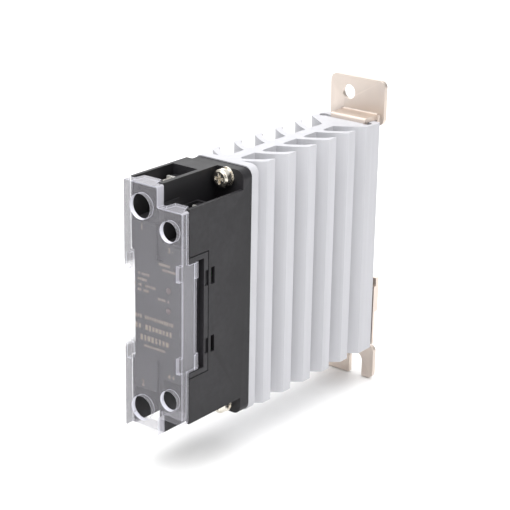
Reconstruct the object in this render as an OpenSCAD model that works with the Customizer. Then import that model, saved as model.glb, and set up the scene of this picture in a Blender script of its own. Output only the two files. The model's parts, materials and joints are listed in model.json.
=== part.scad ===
// Slim solid state relay with its own heat sink, for a 35 mm rail or a panel.
// Frame: X across the width, Y from the front of the cover to the rear, Z up.
// The origin is the middle of the rail seat. Depths below are counted from the
// cover's front face, and in_frame() moves them into the frame.

/* [Overall] */
// Width of the relay and of the heat sink's front plate
unit_w = 22.5; // [22.3:0.1:22.7]
// Height of the heat sink
sink_h = 80; // [79.6:0.1:80.4]
// Depth of the relay module in front of the heat sink
module_d = 32; // [31.9:0.1:32.2]
// Height over the two mounting brackets
bracket_h = 106; // [105:0.5:108]

/* [Housing] */
// Height of the tall load column and the flange
column_h = 79.2; // [78.8:0.1:79.4]
// Height of the shorter control column
control_h = 67.6; // [67.2:0.1:67.8]
// Thickness of the outer side walls
side_wall = 1.05; // [1:0.05:1.1]
// Front edge of the housing walls
housing_front = 3.3; // [3.3:0.1:3.4]
// Depth at which the screw flange starts
flange_front = 27.9; // [27.7:0.1:28.1]

/* [Cover] */
// Thickness of the clear cover's front plate
cover_t = 1.5; // [1.2:0.1:1.6]
// Depth of the rim behind the front face
rim_d = 3; // [2.6:0.1:3]
// Radius of the driver holes over the load screws
load_hole_r = 3.9; // [3.7:0.1:4]
// Radius of the driver holes over the control screws
control_hole_r = 3.2; // [3.2:0.1:3.6]

/* [Terminals] */
// Sideways place of the load screws
load_x = -4.9; // [-5.1:0.1:-4.7]
// Height of the load screws above the middle
load_z = 32.1; // [31.9:0.1:32.3]
// Sideways place of the control screws
control_x = 6; // [5.9:0.1:6.1]
// Height of the control screws above the middle
control_z = 26.6; // [26.4:0.1:26.8]

/* [Heat sink] */
// Number of fins on each side
fin_count = 5; // [5:1:5]
// Distance from fin to fin
fin_pitch = 10.64; // [10.5:0.02:10.7]
// Thickness of a fin
fin_t = 2.2; // [1.8:0.1:2.4]
// Half width over the fin tips
fin_reach = 10.8; // [10.5:0.1:10.9]
// Half thickness of the spine
spine_r = 2.2; // [2:0.1:2.5]

/* [Rear mounting] */
// Thickness of the bracket sheet
bracket_t = 1.6; // [1.5:0.1:1.6]
// Half width of the bracket tabs
tab_r = 10.8; // [10.4:0.1:10.9]
// Height of the upper mounting hole above the middle
hole_z = 47.4; // [47:0.1:48]
// Radius of the mounting hole and half width of the slot
hole_r = 2.5; // [2.4:0.1:2.7]
// Sideways offset of the hole and of the slot
hole_x = 3.5; // [3.2:0.1:3.6]

/* [Hidden] */

half_w = unit_w / 2;
inner_r = half_w - side_wall;
column_top = column_h / 2;
control_top = control_h / 2;
sink_top = sink_h / 2;
big = 60;

// The middle wall between the load pockets and the control column
mid_left = -0.4;
mid_right = 1.2;

// Pockets, bottoms and depths
load_pocket_z = 27;
load_pocket_rear = 20.7;
control_pocket_z = 21.9;
control_pocket_rear = 17.8;
fixing_pocket_z = 28.6;
control_pocket_left = 1.6;
cavity_front = 22.2;
centre_z = 20.6;
bezel_rear = 3.9;
wing_z = 18.9;
wing_rear = 11.8;
recess_z = 17.3;
recess_rear = 9.9;
clip_z = 16.9;

// Screw stacks, depths from the front face: head, clamp, bar and nut
load_bar_front = 16.2;
load_bar_t = 1;
control_bar_front = 14.2;
control_bar_t = 0.8;

// Light guides in the bezel and the board behind them
lens_x = 4;
input_lens_z = 7.4;
alarm_lens_z = 1;
lens_r = 0.9;
board_front = 23;
board_t = 1.2;

// Screw flange and its screws
fixing_x = 5;
fixing_z = 36.9;
flange_corner_r = 2.8;

// Heat sink depths
plate_rear = module_d + 3.3;
sink_rear = module_d + 68;
fin_arc_r = 25.7;
fin_arc_x = -8.74;
fin_arc_y = plate_rear + 24.65;
slot_front = 95.1;
slot_rear = 96.9;
slot_r = 7.6;
tongue_left = -5.4;
tongue_right = 8.3;
rear_block_root = 86.2;
rear_block_edge = 92.4;
rear_reach = 11.2;

// Rail seat and rear mounting plane
rail_plate_t = 1.1;
seat_y = sink_rear + rail_plate_t;
tab_front = 102.5;
latch_front = seat_y + 0.1;
latch_t = 1.1;
latch_travel = 3.6;
rail_half = 17.5;
plate_screw_z = 7;
tongue_end = 24;
rivet_x = 5;
rivet_z = -33.6;
spring_fixed = -33.5;
spring_top = -24.5;
jaw_z = -15.5;

module in_frame() translate([0, -seat_y, 0]) children();

// A box between two corners
module block(x0, x1, y0, y1, z0, z1)
    translate([x0, y0, z0]) cube([x1 - x0, y1 - y0, z1 - z0]);

// A cylinder along the depth
module rod(x, z, r, y0, y1, fn = 48)
    translate([x, y0, z]) rotate([-90, 0, 0]) cylinder(r = r, h = y1 - y0, $fn = fn);

// An outline in X and Z, given its thickness along the depth
module slab(y0, y1)
    translate([0, y1, 0]) rotate([90, 0, 0]) linear_extrude(height = y1 - y0) children();

// An outline in X and Y, extruded up
module prism(z0, z1)
    translate([0, 0, z0]) linear_extrude(height = z1 - z0) children();

// A rectangle with true round corners
module round_rect(x0, x1, z0, z1, r) {
    translate([x0 + r, z0]) square([x1 - x0 - 2 * r, z1 - z0]);
    translate([x0, z0 + r]) square([x1 - x0, z1 - z0 - 2 * r]);
    for (x = [x0 + r, x1 - r], z = [z0 + r, z1 - r])
        translate([x, z]) circle(r = r, $fn = 32);
}

module lower_end() mirror([0, 0, 1]) children();

module both_ends() {
    children();
    lower_end() children();
}

module both_sides() {
    children();
    mirror([1, 0, 0]) children();
}

// ---------------------------------------------------------------- cover

module cover_outline(inset) {
    round_rect(-half_w + inset, 1.8 - inset, -column_top + 0.2 + inset,
        column_top - 0.2 - inset, 0.5);
    round_rect(-half_w + inset, half_w - inset, -control_top + 0.5 + inset,
        control_top - 0.5 - inset, 0.5);
}

// Small guard lips that reach back over the wire entries
module cover_lip(x0, x1, x2, x3, z_top)
    prism(z_top - 0.9, z_top)
        polygon([[x0, cover_t], [x3, cover_t], [x3, rim_d], [x2, 6.6], [x1, 6.6], [x0, rim_d]]);

// Side flap with its two raised clip tabs
module cover_flap() {
    block(inner_r + 0.15, half_w, 1, 6.6, -12, 12);
    both_ends() {
        block(inner_r + 0.15, half_w, 1, 7.4, 11.9, clip_z);
        block(half_w - 0.2, half_w + 0.15, 5.6, 6.3, 12.1, clip_z);
    }
}

module front_cover() color([0.86, 0.9, 0.94, 0.35]) in_frame() difference() {
    union() {
        slab(0, cover_t) cover_outline(0);
        difference() {
            slab(cover_t - 0.1, rim_d) cover_outline(0);
            slab(cover_t - 0.2, rim_d + 1) cover_outline(0.9);
        }
        both_ends() {
            rod(load_x, load_z, load_hole_r + 0.8, 0.5, 1.5);
            rod(control_x, control_z, control_hole_r + 0.7, 0.5, 1.5);
            cover_lip(-9.4, -8.8, -2.3, -1, column_top - 0.2);
            cover_lip(2.8, 3.1, 7.9, 9.5, control_top - 0.5);
        }
        both_sides() cover_flap();
    }
    both_ends() {
        rod(load_x, load_z, load_hole_r, -1, 4);
        rod(control_x, control_z, control_hole_r, -1, 4);
        both_sides() block(9, inner_r + 0.15, -1, 4, 12, clip_z);
    }
}

// ---------------------------------------------------------------- bezel

module bezel_outline() {
    translate([-inner_r + 0.1, -26.6]) square([inner_r - 0.1 + mid_right, 53.2]);
    translate([-inner_r + 0.1, -21.4]) square([2 * inner_r - 0.2, 42.8]);
}

module bezel_wing() {
    block(8.4, 9.2, 3, wing_rear, -wing_z, wing_z);
    block(8.4, half_w, recess_rear, wing_rear, -wing_z, wing_z);
    both_ends() {
        block(8.4, half_w, housing_front, wing_rear, recess_z, wing_z);
        // Snap tongue whose nose sits in the housing's window
        block(8.9, 9.9, wing_rear - 0.1, 14.6, 8.4, 13.3);
        block(9.8, inner_r + 0.3, 13.4, 14.1, 8.6, 13.1);
    }
}

module front_bezel() color([0.17, 0.17, 0.18]) in_frame() difference() {
    union() {
        slab(2.4, bezel_rear) bezel_outline();
        both_sides() bezel_wing();
    }
    both_sides() {
        // Recess for the cover's side flaps
        block(9.2, half_w + 1, 1, recess_rear, -recess_z, recess_z);
        both_ends() block(10.7, half_w + 1, recess_rear + 0.5, wing_rear + 1, 8.4, 13.2);
    }
    // Groove between the two terminal columns
    both_ends() block(-0.6, 1.8, 2, 3.3, 16, 30);
    rod(lens_x, input_lens_z, lens_r + 0.05, 1, 5);
    rod(lens_x, alarm_lens_z, lens_r + 0.05, 1, 5);
}

// Light guide from the board to the bezel's face
module lens(z) color([0.9, 0.35, 0.3, 0.6]) in_frame() {
    rod(lens_x, z, lens_r, 2.2, 8, 32);
    rod(lens_x, z, lens_r + 0.6, bezel_rear, 4.9, 32);
}

module input_lens() lens(input_lens_z);
module alarm_lens() lens(alarm_lens_z);

// ---------------------------------------------------------------- housing

module load_pocket() {
    difference() {
        block(-inner_r + 0.1, mid_left, 0, load_pocket_rear, load_pocket_z, big);
        // Pedestal behind the terminal bar
        block(load_x - 4.3, load_x + 4.3, load_bar_front + load_bar_t, load_pocket_rear + 1,
            load_pocket_z - 1, 36.4);
    }
    // Square nut seat and clearance for the end of the screw
    block(load_x - 3.6, load_x + 3.6, 16, 19.8, load_z - 3.6, load_z + 3.6);
    rod(load_x, load_z, 2.4, 16, 21.4);
}

module control_pocket() {
    difference() {
        block(control_pocket_left, inner_r - 0.1, 0, control_pocket_rear, control_pocket_z, big);
        block(control_x - 3.4, control_x + 3.4, control_bar_front + control_bar_t,
            control_pocket_rear + 1, control_pocket_z - 1, 30.6);
    }
    block(control_x - 2.85, control_x + 2.85, 14, 17, control_z - 2.85, control_z + 2.85);
    rod(control_x, control_z, 1.9, 14, 19.2);
    // Lowered wall behind the control terminal and open pocket before the screw flange
    block(mid_right, inner_r - 0.1, 10, flange_front, 31, big);
    block(mid_right, inner_r - 0.1, control_pocket_rear + 1.2, flange_front, fixing_pocket_z, big);
}

module housing() color([0.12, 0.12, 0.13]) in_frame() difference() {
    union() {
        slab(flange_front, module_d)
            round_rect(-half_w, half_w, -column_top, column_top, flange_corner_r);
        block(-half_w, mid_right, housing_front, flange_front + 0.5, -column_top, column_top);
        block(0, half_w, housing_front, flange_front + 0.5, -control_top, control_top);
    }
    both_ends() {
        load_pocket();
        control_pocket();
        // Screw hole through the flange
        rod(fixing_x, fixing_z, 1.7, flange_front - 1, module_d + 1);
        // Hollow behind the load column's top
        block(-inner_r, mid_left, cavity_front, module_d + 1, 32, 38.2);
        // Spaces in front of the cavity, behind the bezel's face
        block(-inner_r, mid_left, bezel_rear + 1, cavity_front, 21.8, 25.8);
        // Passage for the load bar and for the control pin
        block(load_x - 2.9, load_x + 2.9, load_bar_front, cavity_front + 1, load_pocket_z - 1.3,
            load_pocket_z + 1.2);
        block(control_x - 1.4, control_x + 1.4, control_bar_front, control_pocket_rear + 1,
            control_pocket_z - 0.4, control_pocket_z + 1.2);
        block(control_x - 1.4, control_x + 1.4, control_pocket_rear + 0.4, cavity_front + 1,
            centre_z - 1, control_pocket_z + 1.2);
        // Snap windows in the side walls
        both_sides() block(inner_r - 1, half_w + 1, 13.2, 14.8, 8.2, 13.5);
    }
    // Seat of the bezel's face
    slab(-1, bezel_rear) {
        translate([-inner_r, -26.7]) square([inner_r + mid_right + 0.1, 53.4]);
        translate([-inner_r, -21.5]) square([2 * inner_r, 43]);
    }
    // Room for the bezel's wings, the board and the power stage
    block(-big, big, 0, wing_rear + 0.3, -wing_z - 0.3, wing_z + 0.3);
    block(-inner_r, inner_r, 0, cavity_front + 1, -centre_z, centre_z);
    block(-inner_r, inner_r, cavity_front, module_d + 1, -27.4, 27.4);
    block(-inner_r, mid_left, cavity_front, module_d + 1, -30.6, 30.6);
    block(-inner_r - 0.3, inner_r + 0.3, 29.4, module_d + 1, -31.6, 31.6);
}

// ---------------------------------------------------------------- terminals

// Pan head screw along the depth with a cross recess; the head starts at y0
module cross_screw(x, z, y0, head_r, head_h, shank_r, shank_end) difference() {
    union() {
        rod(x, z, head_r, y0 + 0.5, y0 + head_h);
        translate([x, y0 + 0.5, z]) rotate([90, 0, 0])
            cylinder(r1 = head_r, r2 = head_r - 0.6, h = 0.5, $fn = 48);
        rod(x, z, shank_r, y0 + head_h - 0.1, shank_end);
    }
    for (a = [0, 90])
        translate([x, y0 - 0.1, z]) rotate([0, a, 0])
            translate([-head_r * 0.58, 0, -head_r * 0.14]) cube([head_r * 1.16, 1.4, head_r * 0.28]);
}

// Square clamping washer with a turned-up front lip
module clamp(x, z, y0, y1, half, bore_r) difference() {
    union() {
        block(x - half, x + half, y0, y1, z - half, z + half);
        both_sides_of(x) block(half - 0.5, half, y0 - 0.6, y1, z - half, z + half);
    }
    rod(x, z, bore_r, y0 - 2, y1 + 1);
}

module both_sides_of(x) translate([x, 0, 0]) both_sides() children();

module load_screw() color([0.8, 0.78, 0.74]) in_frame()
    cross_screw(load_x, load_z, 12.4, 3.3, 2.5, 1.95, 20.3);

module load_clamp() color([0.78, 0.77, 0.74]) in_frame()
    clamp(load_x, load_z, 14.95, load_bar_front - 0.05, 4, 2.05);

module control_screw() color([0.8, 0.78, 0.74]) in_frame()
    cross_screw(control_x, control_z, control_bar_front - 3.2, 2.5, 2.1, 1.45, 18.2);

module control_clamp() color([0.78, 0.77, 0.74]) in_frame()
    clamp(control_x, control_z, control_bar_front - 1.05, control_bar_front - 0.05, 3.2, 1.55);

module load_screw_top() load_screw();
module load_screw_bottom() lower_end() load_screw();
module load_clamp_top() load_clamp();
module load_clamp_bottom() lower_end() load_clamp();
module control_screw_top() control_screw();
module control_screw_bottom() lower_end() control_screw();
module control_clamp_top() control_clamp();
module control_clamp_bottom() lower_end() control_clamp();

// Bent bar from the load screw back to the power stage
module load_terminal() color([0.85, 0.84, 0.82]) in_frame() difference() {
    union() {
        block(load_x - 3.9, load_x + 3.9, load_bar_front, load_bar_front + load_bar_t,
            load_pocket_z, 37);
        block(load_x - 2.7, load_x + 2.7, load_bar_front, 28.4, load_pocket_z - 0.9, load_pocket_z + 0.1);
        block(load_x - 2.7, load_x + 2.7, 27.4, 28.4, 23.4, load_pocket_z + 0.1);
    }
    rod(load_x, load_z, 2.1, 15, 18);
}

// Bent bar from the control screw back through the board
module control_terminal() color([0.85, 0.84, 0.82]) in_frame() difference() {
    union() {
        block(control_x - 3, control_x + 3, control_bar_front, control_bar_front + control_bar_t,
            control_pocket_z, 30.8);
        block(control_x - 1.2, control_x + 1.2, control_bar_front, control_pocket_rear + 1.5,
            control_pocket_z, control_pocket_z + 0.8);
        block(control_x - 1.2, control_x + 1.2, control_pocket_rear + 0.7, control_pocket_rear + 1.5,
            18.4, control_pocket_z + 0.8);
        block(control_x - 0.4, control_x + 0.4, control_pocket_rear + 0.7, 24.6, 18.4, 19.2);
    }
    rod(control_x, control_z, 1.6, 12, 16);
}

module load_terminal_top() load_terminal();
module load_terminal_bottom() lower_end() load_terminal();
module control_terminal_top() control_terminal();
module control_terminal_bottom() lower_end() control_terminal();

module square_nut(x, z, y0, y1, half, bore_r) difference() {
    block(x - half, x + half, y0, y1, z - half, z + half);
    rod(x, z, bore_r, y0 - 1, y1 + 1);
}

module load_nuts() color([0.75, 0.73, 0.68]) in_frame() both_ends()
    square_nut(load_x, load_z, load_bar_front + load_bar_t, 19.6, 3.5, 2);

module control_nuts() color([0.75, 0.73, 0.68]) in_frame() both_ends()
    square_nut(control_x, control_z, control_bar_front + control_bar_t, 16.8, 2.75, 1.5);

// ---------------------------------------------------------------- electronics

module circuit_board() color([0.1, 0.36, 0.2]) in_frame() difference() {
    block(-9.6, 9.6, board_front, board_front + board_t, -22, 22);
    both_ends() {
        block(control_x - 0.5, control_x + 0.5, 22, 26, 18.3, 19.3);
        rod(-7.6, 15, 0.6, 22, 26, 24);
    }
}

// Round lamp with its collar, standing on the board on two legs
module led(z, tint) color(tint) in_frame() {
    rod(lens_x, z, 1.4, 10, 12.5, 32);
    translate([lens_x, 10, z]) sphere(r = 1.4, $fn = 32);
    rod(lens_x, z, 1.7, 12.4, 13.2, 32);
    for (s = [-1, 1])
        block(lens_x + 0.9 * s - 0.25, lens_x + 0.9 * s + 0.25, 13.1, board_front, z - 0.25, z + 0.25);
}

module input_led() led(input_lens_z, [0.3, 0.8, 0.35, 0.8]);
module alarm_led() led(alarm_lens_z, [0.85, 0.2, 0.15, 0.8]);

// Chip body with two rows of legs that reach the board's face
module chip(x, z, w, h, t, pins) {
    block(x - w / 2, x + w / 2, board_front - t - 0.4, board_front - 0.4, z - h / 2, z + h / 2);
    for (s = [-1, 1], i = [0 : pins - 1])
        block(x + s * (w / 2 + 0.35) - 0.4, x + s * (w / 2 + 0.35) + 0.4, board_front - 1.6, board_front,
            z + (i - (pins - 1) / 2) * 2.54 - 0.25, z + (i - (pins - 1) / 2) * 2.54 + 0.25);
}

module optocoupler() color([0.93, 0.92, 0.88]) in_frame() chip(-2, -6, 6.4, 7.6, 3.4, 3);
module control_chip() color([0.1, 0.1, 0.1]) in_frame() chip(5, -13, 3.9, 6.4, 1.5, 2);

// Disc varistor standing on the board on two legs
module varistor() color([0.15, 0.3, 0.6]) in_frame() {
    translate([-7.2, 15.2, 3]) rotate([0, 90, 0]) cylinder(r = 5, h = 3.4, $fn = 48);
    for (s = [-1, 1]) block(-5.8, -5.2, 15.2, board_front, 3 + 2.5 * s - 0.3, 3 + 2.5 * s + 0.3);
}

// Boxed film capacitor of the snubber
module snubber_capacitor() color([0.75, 0.68, 0.2]) in_frame() {
    block(-8.7, -3.3, 13.4, 22.2, -19, -12.4);
    for (z = [-17.6, -13.8]) block(-6.3, -5.7, 22.1, board_front, z - 0.3, z + 0.3);
}

module snubber_resistor() color([0.3, 0.55, 0.6]) in_frame() {
    translate([-0.6, 20.6, 6]) cylinder(r = 1.6, h = 9, $fn = 32);
    for (z = [4.6, 15.8]) block(-0.9, -0.3, 20.3, board_front, z, z + 0.6);
    block(-0.9, -0.3, 20.3, 20.9, 4.6, 6.1);
    block(-0.9, -0.3, 20.3, 20.9, 14.9, 16.4);
}

// Overheat sensor on the base plate
module thermal_sensor() color([0.2, 0.18, 0.16]) in_frame() {
    block(5.4, 9, 27.4, 29.6, -4, 2);
    for (z = [-2.6, 0.2]) block(7, 7.5, 24.2, 27.5, z, z + 0.5);
}

module ceramic_substrate() color([0.95, 0.94, 0.9]) in_frame()
    block(-9, 4.4, 28.9, 29.6, -27, 27);

// Two thyristors back to back
module thyristor_chips() color([0.45, 0.47, 0.55]) in_frame() both_ends()
    block(-5.4, 1.6, 28.5, 28.9, 5, 13);

module base_plate() color([0.8, 0.5, 0.35]) in_frame()
    block(-inner_r, inner_r, 29.6, 31.7, -31.3, 31.3);

module thermal_pad() color([0.62, 0.64, 0.66]) in_frame()
    block(-inner_r + 0.4, inner_r - 0.4, 31.7, module_d, -31, 31);

// ---------------------------------------------------------------- fixings

module fixing_screws() color([0.85, 0.8, 0.7]) in_frame() both_ends()
    cross_screw(fixing_x, fixing_z, 24.2, 2.75, 2.3, 1.45, plate_rear);

// Split spring washer
module spring_washers() color([0.8, 0.76, 0.68]) in_frame() both_ends() difference() {
    rod(fixing_x, fixing_z, 2.6, 26.5, 27.35);
    rod(fixing_x, fixing_z, 1.6, 26, 28);
    translate([fixing_x, 27, fixing_z]) rotate([0, 0, 20]) translate([1, -2, -0.2]) cube([3, 4, 0.4]);
}

module flat_washers() color([0.86, 0.82, 0.74]) in_frame() both_ends() difference() {
    rod(fixing_x, fixing_z, 3, 27.35, flange_front);
    rod(fixing_x, fixing_z, 1.6, 27, 29);
}

// ---------------------------------------------------------------- heat sink

// One curved fin, swept towards the rear
module fin(k) {
    centre = [fin_arc_x, fin_arc_y + k * fin_pitch];
    intersection() {
        difference() {
            translate(centre) circle(r = fin_arc_r + fin_t, $fn = 128);
            translate(centre) circle(r = fin_arc_r, $fn = 128);
        }
        translate([spine_r - 0.4, centre[1] - fin_arc_r - fin_t - 1])
            square([fin_reach - spine_r + 0.4, 24]);
    }
    // Fillet at the fin's root
    translate([spine_r - 0.4, plate_rear - 1.2 + k * fin_pitch])
        polygon([[0, 0], [1.9, 0.8], [1.9, 3.2], [0, 4.6]]);
}

module half_profile() {
    translate([0, module_d]) square([half_w, 3.3]);
    translate([0, module_d + 1]) square([spine_r, rear_block_root - module_d]);
    for (k = [0 : fin_count - 1]) fin(k);
    polygon([[0, rear_block_root - 1], [spine_r - 0.4, rear_block_root - 1],
        [rear_reach, rear_block_edge], [rear_reach, sink_rear - 0.4],
        [rear_reach - 0.4, sink_rear], [0, sink_rear]]);
}

module heat_sink() color([0.84, 0.84, 0.86]) in_frame() difference() {
    prism(-sink_top, sink_top) both_sides() half_profile();
    both_ends() {
        rod(fixing_x, fixing_z, 1.5, module_d - 1, plate_rear + 1);
        // Round corners of the front plate, in line with the flange
        both_sides() difference() {
            block(half_w - flange_corner_r, half_w + 1, module_d - 1, plate_rear + 0.2,
                sink_top - flange_corner_r, sink_top + 1);
            rod(half_w - flange_corner_r, sink_top - flange_corner_r, flange_corner_r,
                module_d - 2, plate_rear + 1);
        }
        rod(0, plate_screw_z, 1.25, slot_rear, sink_rear + 1);
    }
    // Slot for the brackets' tongues, with round ports at its ends
    block(-slot_r - 0.6, slot_r + 0.6, slot_front, slot_rear, -big, big);
    for (x = [-8.7, 8.7])
        translate([x, (slot_front + slot_rear) / 2, -big]) cylinder(r = 1.5, h = 2 * big, $fn = 48);
}

// ---------------------------------------------------------------- rear mounting

// Tongue in the slot, foot over the sink's end and tab behind
module bracket_body() {
    block(tongue_left, tongue_right, slot_front + 0.1, slot_front + 0.1 + bracket_t, tongue_end,
        sink_top + bracket_t);
    block(tongue_left, tongue_right, slot_front + 0.1, tab_front + bracket_t, sink_top,
        sink_top + bracket_t);
}

module upper_bracket() color([0.83, 0.76, 0.66]) in_frame() difference() {
    union() {
        bracket_body();
        slab(tab_front, tab_front + bracket_t)
            round_rect(-tab_r, tab_r, 37.9, bracket_h / 2, 2.3);
    }
    for (x = [tongue_left - 0.9, tongue_right])
        block(x, x + 0.9, 101, 106, 30, sink_top + bracket_t);
    rod(-hole_x, hole_z, hole_r, 101, 106);
}

module lower_bracket() color([0.83, 0.76, 0.66]) in_frame() lower_end() difference() {
    union() {
        mirror([1, 0, 0]) bracket_body();
        slab(tab_front, tab_front + bracket_t)
            round_rect(-tab_r, tab_r, sink_top + 0.9, bracket_h / 2, 2);
    }
    rod(hole_x, hole_z, hole_r + 0.1, 101, 106);
    block(hole_x - hole_r - 0.1, hole_x + hole_r + 0.1, 101, 106, hole_z, bracket_h);
}

// Plate on the sink's rear with the fixed hook for the rail's upper edge
module rail_plate() color([0.83, 0.76, 0.66]) in_frame() difference() {
    union() {
        block(-7, 7, sink_rear, seat_y, -36.4, 19.2);
        block(-7, 7, sink_rear, 103.5, rail_half + 0.4, 19.2);
        block(-7, 7, 102.3, 103.5, 14.4, 19.2);
        // Spring stop, through the latch's window
        block(-1.5, 1.5, sink_rear, 104, spring_fixed - 0.8, spring_fixed);
    }
    both_ends() {
        rod(0, plate_screw_z, 1.6, sink_rear - 1, seat_y + 1);
        translate([0, seat_y + 0.01, plate_screw_z]) rotate([90, 0, 0])
            cylinder(r1 = 2.85, r2 = 1.6, h = 1.11, $fn = 48);
    }
    both_sides() rod(rivet_x, rivet_z, 1.2, sink_rear - 1, seat_y + 1);
}

// Countersunk screws that hold the rail plate
module plate_screws() color([0.85, 0.8, 0.7]) in_frame() both_ends() {
    rod(0, plate_screw_z, 1.2, slot_rear - 0.3, sink_rear + 0.2);
    difference() {
        translate([0, seat_y, plate_screw_z]) rotate([90, 0, 0])
            cylinder(r1 = 2.8, r2 = 1.55, h = 1.1, $fn = 48);
        for (a = [0, 90])
            translate([0, seat_y - 0.7, plate_screw_z]) rotate([0, a, 0])
                translate([-1.5, 0, -0.35]) cube([3, 1, 0.7]);
    }
}

// Sprung slider that grips the rail's lower edge
module rail_latch() color([0.83, 0.76, 0.66]) in_frame() difference() {
    union() {
        block(-tab_r, tab_r, latch_front, latch_front + latch_t, -36.1, -18.3);
        block(-tab_r, tab_r, latch_front, 104, -27.8, -18.3);
        block(-tab_r, tab_r, latch_front + latch_t, 104, -27.8, jaw_z);
        both_sides() block(slot_r + 1.1, tab_r, latch_front, latch_front + latch_t, -39.6, -36);
    }
    // Hollow behind the jaw, window for the spring and guide slots
    block(-8.8, 8.8, latch_front - 1, 102.9, -27, -19.5);
    block(-2.1, 2.1, latch_front - 1, 105, -34.6, spring_top);
    both_sides() {
        rod(rivet_x, rivet_z, 1.35, 100, 106);
        rod(rivet_x, rivet_z + latch_travel, 1.35, 100, 106);
        block(rivet_x - 1.35, rivet_x + 1.35, 100, 106, rivet_z, rivet_z + latch_travel);
    }
}

module guide_rivets() color([0.85, 0.8, 0.7]) in_frame() both_sides() {
    rod(rivet_x, rivet_z, 1.2, sink_rear, latch_front + latch_t + 0.2);
    rod(rivet_x, rivet_z, 1.9, latch_front + latch_t + 0.1, 103.6);
}

// Compression spring between the fixed stop and the top of the latch's window
module latch_spring() color([0.7, 0.7, 0.72]) in_frame()
    translate([0, 102.6, spring_fixed]) {
        difference() {
            cylinder(r = 1.4, h = spring_top - spring_fixed - 0.05, $fn = 32);
            translate([0, 0, -1]) cylinder(r = 0.95, h = 20, $fn = 32);
        }
    }

front_cover();
front_bezel();
housing();
input_lens();
alarm_lens();
load_screw_top();
load_screw_bottom();
load_clamp_top();
load_clamp_bottom();
control_screw_top();
control_screw_bottom();
control_clamp_top();
control_clamp_bottom();
load_terminal_top();
load_terminal_bottom();
control_terminal_top();
control_terminal_bottom();
load_nuts();
control_nuts();
circuit_board();
input_led();
alarm_led();
optocoupler();
control_chip();
varistor();
snubber_capacitor();
snubber_resistor();
thermal_sensor();
thyristor_chips();
ceramic_substrate();
base_plate();
thermal_pad();
fixing_screws();
spring_washers();
flat_washers();
heat_sink();
upper_bracket();
lower_bracket();
rail_plate();
plate_screws();
rail_latch();
guide_rivets();
latch_spring();
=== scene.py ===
"""Looks of a slim solid state relay: clear front cover, black housing, plated
screws, finned heat sink, bent brackets and a sprung rail latch."""

import json
import math

import bmesh
import bpy
from bpy.props import FloatProperty, FloatVectorProperty, IntProperty, PointerProperty
from mathutils import Matrix, Vector


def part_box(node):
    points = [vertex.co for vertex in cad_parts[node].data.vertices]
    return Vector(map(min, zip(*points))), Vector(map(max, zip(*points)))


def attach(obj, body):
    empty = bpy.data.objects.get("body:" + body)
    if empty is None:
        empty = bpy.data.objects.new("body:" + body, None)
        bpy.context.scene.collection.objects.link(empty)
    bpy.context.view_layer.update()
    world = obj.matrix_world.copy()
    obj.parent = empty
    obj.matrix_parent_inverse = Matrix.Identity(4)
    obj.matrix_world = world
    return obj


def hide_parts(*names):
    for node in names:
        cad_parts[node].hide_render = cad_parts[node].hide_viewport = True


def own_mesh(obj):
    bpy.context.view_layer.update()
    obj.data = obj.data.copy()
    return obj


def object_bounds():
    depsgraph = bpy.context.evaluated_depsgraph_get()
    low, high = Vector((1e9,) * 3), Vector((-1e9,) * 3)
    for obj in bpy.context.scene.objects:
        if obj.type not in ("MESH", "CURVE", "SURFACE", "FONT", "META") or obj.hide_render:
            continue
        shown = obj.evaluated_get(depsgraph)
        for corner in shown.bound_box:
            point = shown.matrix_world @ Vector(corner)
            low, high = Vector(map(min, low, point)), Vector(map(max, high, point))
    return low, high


bl_info = {
    "name": "Solid state relay",
    "version": (1, 0, 0),
    "blender": (4, 5, 0),
    "location": "3D View > Sidebar > Relay",
    "description": "Builds the finished look of a slim relay around its fixed frame",
    "category": "Object",
}

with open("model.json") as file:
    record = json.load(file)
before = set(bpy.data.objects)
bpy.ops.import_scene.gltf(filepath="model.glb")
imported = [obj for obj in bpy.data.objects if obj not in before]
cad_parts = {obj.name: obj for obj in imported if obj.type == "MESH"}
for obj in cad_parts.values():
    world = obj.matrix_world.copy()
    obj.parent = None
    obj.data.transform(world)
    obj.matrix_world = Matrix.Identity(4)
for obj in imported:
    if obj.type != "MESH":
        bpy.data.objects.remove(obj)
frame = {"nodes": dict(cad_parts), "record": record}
CAD_BOX = [list(corner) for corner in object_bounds()]
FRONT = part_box("front_cover")[0].y
BODY = "body"
MM = 0.001
WELD = 1e-6  # Points of one mesh nearer than this, in metres, are one point
PLATE_HALF = 1.65  # Half the thickness of the sink's front plate, in mm
PLATE_CORNER = 2.8  # Radius of its corners, in mm
BEZEL_FACE = 2.4  # Depth of the bezel behind the cover's face, in mm
LOAD_HOLE = 3.9  # Radius of the cover's larger holes, in mm
CONTROL_HOLE = 3.2  # Radius of its smaller holes, in mm
SHEET = 1.6  # Thickness of the brackets, in mm


def at(x, depth, z):
    """A point from millimetres: across, back from the cover's face, and up."""
    return Vector((x * MM, FRONT + depth * MM, z * MM))


def middle(node):
    low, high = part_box(node)
    return (low + high) / 2


# ------------------------------------------------------------ node helpers


class Value:
    """A socket in a node tree. Arithmetic on it adds Math nodes."""

    def __init__(self, tree, socket):
        self.tree = tree
        self.socket = socket

    def maths(self, operation, other):
        return self.tree.add("ShaderNodeMath", {"operation": operation}, {0: self, 1: other}).out()

    def __add__(self, other):
        return self.maths("ADD", other)

    def __mul__(self, other):
        return self.maths("MULTIPLY", other)

    __radd__ = __add__
    __rmul__ = __mul__

    def clipped(self):
        return self.tree.add("ShaderNodeClamp", {}, {"Value": self}).out(0)


class Placed:
    """A node that has been added to a tree."""

    def __init__(self, tree, node):
        self.tree = tree
        self.node = node

    def out(self, key=0):
        return Value(self.tree, self.node.outputs[key])


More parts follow.
